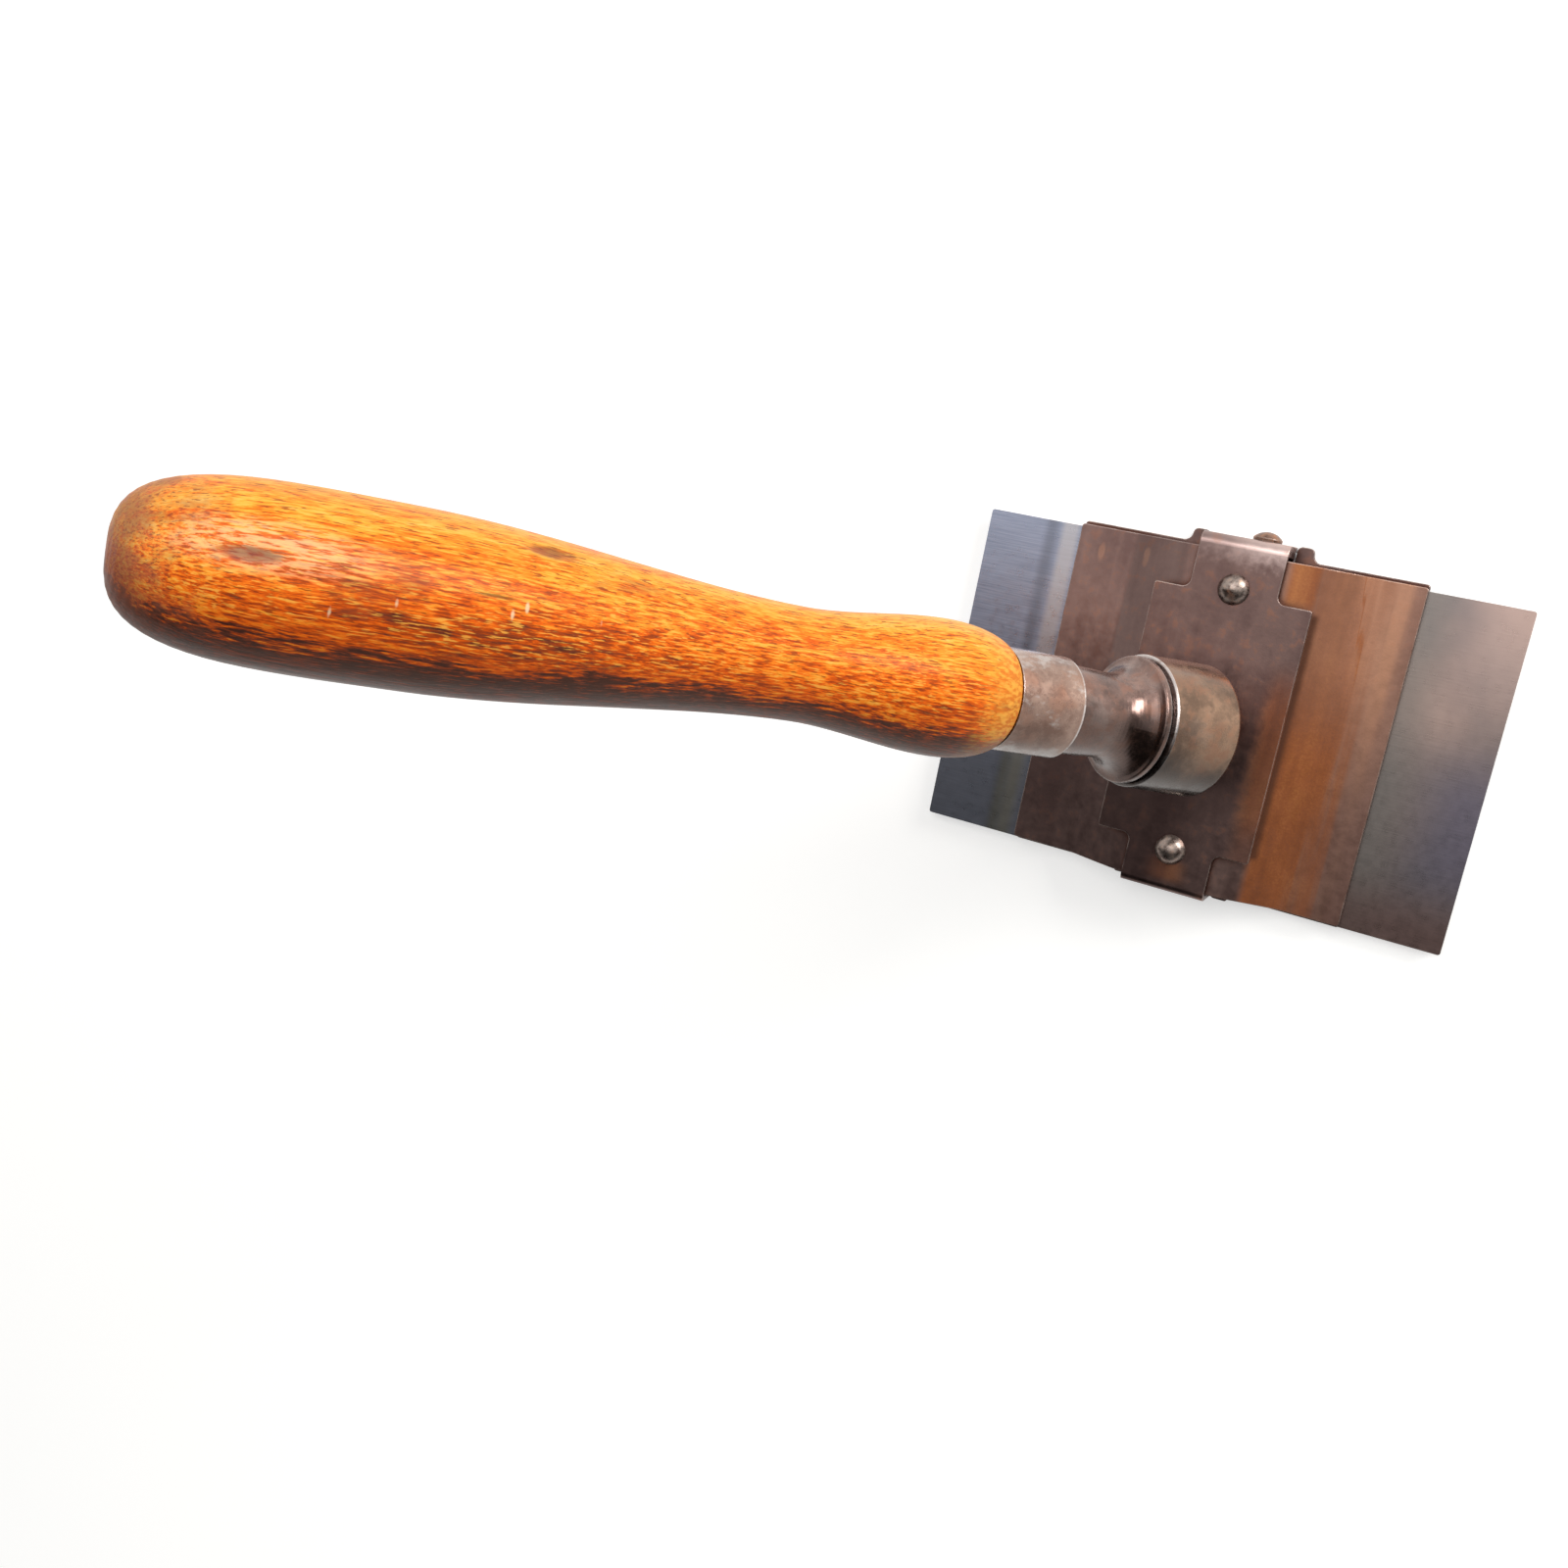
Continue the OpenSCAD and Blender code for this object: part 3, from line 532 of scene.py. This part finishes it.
def handle_wood():
    """Varnished hardwood worn to amber on +Y and dark on -Y, with painted light towards +Y and
    painted shade towards -Y, and short flecks along the grain.
    """
    s = Shader("handle_wood")
    own = s.along_handle()
    _, side, along = s.split(own)
    facing = s.math("DIVIDE", side, s.off_axis(own))
    bend = s.noise(own, (45, 45, 9), output="Color")
    warp = s.vector("ADD", own, s.scaled(bend, mm(4, 4, 0)))
    broad = s.noise(warp, (75, 75, 14), 4, 0.6)
    streak = s.noise(warp, (560, 560, 50), 4, 0.65)
    fleck = s.noise(warp, (2100, 2100, 260), 3, 0.65)
    pores = s.noise(own, (3600, 3600, 420), 2, 0.5)
    cloud = s.noise(own, 140, 4, 0.6)
    # Amber where the hand has worn the varnish, nearly black on the other side; the tone also
    # rises smoothly towards +Y as painted light, and the dark side is partly painted shade
    edge = s.total(facing, s.slope(streak, *NOISE_MIDDLE, -0.12, 0.12),
                   s.slope(fleck, *NOISE_MIDDLE, -0.10, 0.10))
    fleck_strength = s.span(edge, 0.85, 0.30, 0.16, 0.28)
    tone = s.total(s.span(edge, -0.60, -0.38, 0.09, 0.50),
                   s.slope(edge, -0.30, 0.90, -0.01, 0.25),
                   s.slope(broad, *NOISE_WIDE, -0.14, 0.15),
                   s.slope(streak, *NOISE_WIDE, -0.12, 0.12),
                   s.product(s.slope(fleck, *NOISE_WIDE, -1.0, 1.0), fleck_strength))
    place, reach = RUDDY_PATCH
    ruddy = s.spot(own, mark_at(*place), mm(*reach), broad, 0.6)
    tone = s.math("SUBTRACT", tone, s.product(ruddy, 0.09))
    colour = s.ramp(tone, WOOD_TONES)
    pale_pores = s.product(s.span(edge, -0.45, -0.15), s.span(pores, 0.55, 0.66, 0.0, 0.80))
    colour = s.mix(pale_pores, colour, PALE_PORE)
    colour = s.mix(s.span(pores, 0.34, 0.45, 0.80, 0.0), colour, DARK_PORE)
    # End grain at the nose, handled grime at the butt
    nose = s.total(along, s.vary(fleck, *mm(-2, 2)))
    nose = s.product(s.span(nose, *mm(44.5, 50), 1.0, 0.0),
                     s.span(facing, -0.75, -0.35, 0.25, 0.9))
    specks = s.span(s.noise(own, (1700, 1700, 700), 2, 0.5), 0.38, 0.62)
    colour = s.mix(nose, colour, s.mix(specks, *END_GRAIN))
    butt = s.total(along, s.vary(cloud, *mm(-6, 6)))
    butt = s.span(butt, *mm(161, 175))
    colour = s.mix(s.product(butt, 0.72), colour, BUTT_GRIME)
    grime = s.span(s.noise(own, (210, 210, 60), 5, 0.7), 0.58, 0.72, 0.0, 0.45)
    colour = s.mix(grime, colour, HAND_GRIME)
    # Rubbed paler along the front of the belly, partly a painted sheen
    place, reach = PALE_RUB_AND_SHEEN
    pale = s.product(s.spot(own, mark_at(*place), mm(*reach), broad, 0.6),
                     s.span(fleck, 0.42, 0.56, 0.05, 0.60))
    colour = s.mix(pale, colour, RUBBED_WOOD_AND_SHEEN)
    ragged = s.noise(own, (500, 500, 240), 3, 0.6)
    marks = []
    for (place, angle, half_l, half_w), shade in MARK_COLOURS:
        mark = s.spot(own, mark_at(place, angle), mm(half_w, half_w, half_l), ragged)
        marks.append(mark)
        colour = s.mix(s.product(mark, 0.7), colour, shade)
    for place, angle in NICKS:
        nick = s.spot(own, mark_at(place, angle, NICK_RADIUS), mm(*NICK_REACH), ragged)
        colour = s.mix(s.product(nick, 0.8), colour, NICK_COLOUR)
    rough = s.total(s.vary(streak, 0.36, 0.50), s.product(s.most(grime, butt), 0.10))
    height = s.math("SUBTRACT", s.weighted((fleck, 0.6), (pores, 0.5)),
                    s.product(s.most(*marks), 2.0))
    return s.finish(colour, rough, height, 0.075 * MM, **VARNISH)


# -------------------------------------------------------------------- handle

SIDES, ROWS = 160, 420
# Rings of the wood follow half a turn of a cosine, so that they crowd together at both round
# ends. The first share of the turn is skipped, which is this share of the length.
SKIPPED_TURN = 0.12
SKIPPED_LENGTH = 0.0352
# Rings of the turned node nearer to the centre line than this are in the tang's bore,
# except close to the butt
BORE_RADIUS = 5 * MM
BUTT_ROUNDING = 3 * MM
# The butt is worn a little flat: beyond the first, lengths count times the second
BLUNT_FROM = 160 * MM
BLUNT_SHARE = 0.935
# Wear of the wood, in millimetres and cells per millimetre: slow waves and finer ones
SLOW_WEAR, SLOW_CELLS = 0.07, (0.06, 0.06, 0.03)
FINE_WEAR, FINE_CELLS = 0.035, (0.25, 0.25, 0.10)
FINE_OFFSET = 7
# The power that rounds a dent's floor
DENT_CURVE = 0.7
# The butt's centre lies this far inside its last ring's place
TIP_SUNK = 0.02 * MM
# A ring may lie this far before the wood's front and still count
RING_SLACK = 0.1 * MM
# Guards the division where the radius runs out at the butt
TINY = 1e-6


def turned_profile(node):
    """The outer radius of a turned node at each of its rings, from its own vertices."""
    back = HANDLE_TURN.transposed()
    rings = {}
    for vertex in frame["nodes"][node].data.vertices:
        front, side, along = back @ (vertex.co - BALL)
        key = round(along / MM, 2)
        rings[key] = max(rings.get(key, 0.0), math.hypot(front, side))
    profile = []
    for key in sorted(rings):
        along, radius = key * MM, rings[key]
        outside = radius > BORE_RADIUS or along > WOOD_END - BUTT_ROUNDING
        if along > WOOD_AT - RING_SLACK and outside:
            profile.append((along, radius))
    return profile


def radius_at(profile, along):
    """Smooth radius between the rings of a profile."""
    for i in range(len(profile) - 1):
        if profile[i][0] <= along <= profile[i + 1][0]:
            before, a, b = profile[max(i - 1, 0)], profile[i], profile[i + 1]
            after = profile[min(i + 2, len(profile) - 1)]
            step = b[0] - a[0]
            t = (along - a[0]) / step
            slope_a = (b[1] - before[1]) / (b[0] - before[0]) * step
            slope_b = (after[1] - a[1]) / (after[0] - a[0]) * step
            t2, t3 = t * t, t * t * t
            return ((2 * t3 - 3 * t2 + 1) * a[1] + (t3 - 2 * t2 + t) * slope_a
                    + (3 * t2 - 2 * t3) * b[1] + (t3 - t2) * slope_b)
    return profile[-1][1]


def wood_wear(front, side, along):
    """How far the worn surface lies under the turned one, never above it."""
    unit = 1 / MM
    p = Vector((front, side, along)) * unit
    (slow_x, slow_y, slow_z), (fine_x, fine_y, fine_z) = SLOW_CELLS, FINE_CELLS
    slow = noise.noise(Vector((p.x * slow_x, p.y * slow_y, p.z * slow_z)))
    fine = noise.noise(Vector((p.x * fine_x, p.y * fine_y, p.z * fine_z + FINE_OFFSET)))
    depth = SLOW_WEAR * (1 + slow) / 2 + FINE_WEAR * (1 + fine) / 2
    for (place, angle, half_l, half_w), deep in MARK_DEPTHS:
        c = Vector(mark_at(place, angle)) * unit
        size = math.hypot((p.z - c.z) / half_l, math.hypot(p.x - c.x, p.y - c.y) / half_w)
        depth += deep * max(0.0, 1 - size) ** DENT_CURVE
    return depth * MM


def blunted(along):
    """The butt is worn a little flat, inside the turned shape."""
    return along if along < BLUNT_FROM else BLUNT_FROM + (along - BLUNT_FROM) * BLUNT_SHARE


def ring_at(row):
    """Where a ring of the wood lies along the handle, before the butt is blunted."""
    turn = SKIPPED_TURN + (1 - SKIPPED_TURN) * (row / ROWS)
    share = 0.5 - 0.5 * math.cos(math.pi * turn) - SKIPPED_LENGTH
    return WOOD_AT + (WOOD_END - WOOD_AT) * share / (1 - SKIPPED_LENGTH)


def wooden_handle():
    """The wood turned again on a fine grid, with its slight wear and dents."""
    profile = turned_profile("handle")
    vertices, faces = [], []
    for row in range(ROWS):
        place = ring_at(row)
        radius = radius_at(profile, min(max(place, profile[0][0]), profile[-1][0]))
        along = blunted(place)
        for k in range(SIDES):
            turn = 2 * math.pi * k / SIDES
            front, side = radius * math.cos(turn), radius * math.sin(turn)
            share = 1 - min(1.0, wood_wear(front, side, along) / max(radius, TINY))
            vertices.append(on_axis(front * share, side * share, along))
    butt = len(vertices)
    vertices.append(on_axis(0, 0, blunted(WOOD_END - TIP_SUNK)))
    front = len(vertices)
    vertices.append(on_axis(0, 0, WOOD_AT))
    for row in range(ROWS - 1):
        for k in range(SIDES):
            a, b = row * SIDES + k, row * SIDES + (k + 1) % SIDES
            faces.append((a, b, b + SIDES, a + SIDES))
    last = (ROWS - 1) * SIDES
    for k in range(SIDES):
        faces.append((last + k, last + (k + 1) % SIDES, butt))
    # The front face closes the wood against the ferrule
    for k in range(SIDES):
        faces.append(((k + 1) % SIDES, k, front))
    mesh = bpy.data.meshes.new("wooden_handle")
    mesh.from_pydata(vertices, [], faces)
    mesh.validate()
    mesh.polygons.foreach_set("use_smooth", [True] * len(mesh.polygons))
    piece = bpy.data.objects.new("wooden_handle", mesh)
    bpy.context.scene.collection.objects.link(piece)
    return piece


wood = handle_wood()
grip = wooden_handle()
grip.data.materials.append(wood)
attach(grip, "handle")
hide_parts("handle")

LOOKS = {
    "blade": blade_steel(),
    "lower_jaw": sheet_steel("lower_jaw_steel", (0.10, 0.062, 0.056), (0.19, 0.115, 0.10)),
    "upper_jaw": sheet_steel(
        "upper_jaw_steel", (0.165, 0.100, 0.090), (0.255, 0.165, 0.145), rusty=upper_jaw_rust,
        bare=upper_jaw_bare, bare_colour=(0.54, 0.28, 0.175), shaded=0.4,
        seam=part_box("bridge_plate")),
    # The bridge's pale tab bend is rubbed steel and a painted highlight
    "bridge_plate": sheet_steel(
        "bridge_steel", (0.125, 0.074, 0.068), (0.195, 0.122, 0.108), rusty=bridge_rust,
        bare=bridge_rub_and_highlight, bare_colour=(0.66, 0.50, 0.46), shaded=0.6),
    "clamp_screw": small_steel("screw_steel", (0.15, 0.08, 0.055), (0.32, 0.20, 0.15), 0.5),
    "ball_stud": small_steel("stud_steel", (0.22, 0.15, 0.13), (0.42, 0.34, 0.30), 0.2),
    "socket_cap": turned_steel(
        "cap_steel", (0.150, 0.088, 0.056), (0.305, 0.185, 0.118), bare=0.04,
        rims=[(10.45, 10.85, 1.0), (-3.5, -3.1, 1.0)], shade=(-0.62, 0.30, 0.12)),
    "socket_stem": turned_steel(
        "stem_steel", (0.140, 0.082, 0.068), (0.285, 0.180, 0.150), bare=0.10,
        rims=[(11.35, 11.80, 0.6)], shade=(-0.10, 0.95, 0.42)),
    "ferrule": turned_steel(
        "ferrule_steel", (0.205, 0.115, 0.085), (0.42, 0.285, 0.225), bare=0.55,
        rims=[(27.5, 28.05, 1.0)], shade=(-0.80, 0.10, 0.42)),
    "seat_ring": seat_brass(),
}
rivets = small_steel("rivet_steel", (0.14, 0.095, 0.08), (0.40, 0.34, 0.30), 0.25)
for rivet in ("bridge_rivet_1", "bridge_rivet_2", "stud_burr"):
    LOOKS[rivet] = rivets
for node, look in LOOKS.items():
    for place in frame["nodes"][node].material_slots:
        place.material = look


# --------------------------------------------------------- floor, light, camera

FLOOR_HALF = 3.0
FLOOR_COLOUR = (0.80, 0.795, 0.77)
# What the camera and gloss see on top of the floor's own colour, so that it shows white
FLOOR_GLOW = 0.54
REFLECTED = ("Is Glossy Ray", "Is Transmission Ray")


def floor():
    """A plain pale floor."""
    h = FLOOR_HALF
    mesh = bpy.data.meshes.new("floor")
    mesh.from_pydata([(-h, -h, 0), (h, -h, 0), (h, h, 0), (-h, h, 0)], [], [(0, 1, 2, 3)])
    piece = bpy.data.objects.new("floor", mesh)
    bpy.context.scene.collection.objects.link(piece)
    material = bpy.data.materials.new("pale_floor")
    material.use_nodes = True
    nodes = Nodes(material.node_tree)
    surface = nodes.tree.nodes["Principled BSDF"].inputs
    nodes.feed(surface["Base Color"], FLOOR_COLOUR)
    nodes.feed(surface["Roughness"], 0.9)
    nodes.feed(surface["Specular IOR Level"], 0.0)
    nodes.feed(surface["Emission Color"], (1, 1, 1))
    glow = nodes.product(nodes.rays("Is Camera Ray", *REFLECTED), FLOOR_GLOW)
    nodes.feed(surface["Emission Strength"], glow)
    mesh.materials.append(material)


def world():
    """A white backdrop. In gloss it shows as a pale room, dim overhead away from the window,
    and it lights the object softly, more from the window's side."""
    here = bpy.data.worlds.new("pale_room")
    bpy.context.scene.world = here
    here.use_nodes = True
    nodes = Nodes(here.node_tree)
    x, y, z = nodes.split(nodes.add("ShaderNodeTexCoord").outputs["Generated"])
    # x, y and z are a ray's direction, each from -1 to 1
    overhead = nodes.span(z, 0.04, 0.32)
    window = nodes.product(nodes.span(y, -0.21, 0.05, 0.02, 1.05),
                           nodes.span(x, 0.62, 0.92, 1.0, 0.30))
    room = nodes.total(nodes.product(overhead, window), nodes.math("SUBTRACT", 1.0, overhead))
    level = nodes.span(y, -0.6, 0.6, 0.12, 0.45)
    for kinds, value in ((REFLECTED, room), (("Is Camera Ray",), 1.0)):
        shown = nodes.rays(*kinds)
        level = nodes.total(nodes.product(shown, value),
                            nodes.product(nodes.math("SUBTRACT", 1.0, shown), level))
    background = here.node_tree.nodes["Background"].inputs
    nodes.feed(background["Strength"], level)
    nodes.feed(background["Color"], (1, 1, 1))


def panel(name, place, aim, size, power, colour=(1, 1, 1)):
    """A rectangular lamp at place, turned towards aim, in metres and watts. The camera
    doesn't see it."""
    light = bpy.data.lights.new(name, "AREA")
    light.shape = "RECTANGLE"
    light.size, light.size_y = size
    light.energy = power
    light.color = colour
    lamp = bpy.data.objects.new(name, light)
    lamp.location = place
    lamp.rotation_euler = (Vector(aim) - Vector(place)).to_track_quat("-Z", "Y").to_euler()
    lamp.visible_camera = False
    bpy.context.scene.collection.objects.link(lamp)


floor()
world()
panel("window", place=(0.86, 0.80, 0.44), aim=(-0.02, 0, 0.06), size=(0.65, 0.42),
      power=11.5, colour=(1.0, 0.985, 0.965))
panel("skylight", place=(-0.10, 0.55, 1.10), aim=(-0.02, 0, 0.05), size=(1.0, 0.7), power=5.0)

# The camera as fitted to the blade's four corners in the photograph
CAMERA_PLACE = Vector((52.7, 30.85, 299.2)) * MM
CAMERA_RIGHT = Vector((0.875, 0.1836, -0.448))
CAMERA_BACK = Vector((0.4137, 0.1975, 0.8888))
back = CAMERA_BACK.normalized()
right = (CAMERA_RIGHT - CAMERA_RIGHT.dot(back) * back).normalized()
lens = bpy.data.cameras.new("camera")
lens.lens = 35.0
lens.sensor_width = 36.0
camera = bpy.data.objects.new("camera", lens)
axes = Matrix((right, back.cross(right), back)).transposed()
camera.matrix_world = Matrix.Translation(CAMERA_PLACE) @ axes.to_4x4()
bpy.context.scene.collection.objects.link(camera)
bpy.context.scene.camera = camera
bpy.context.scene.view_settings.view_transform = "Standard"
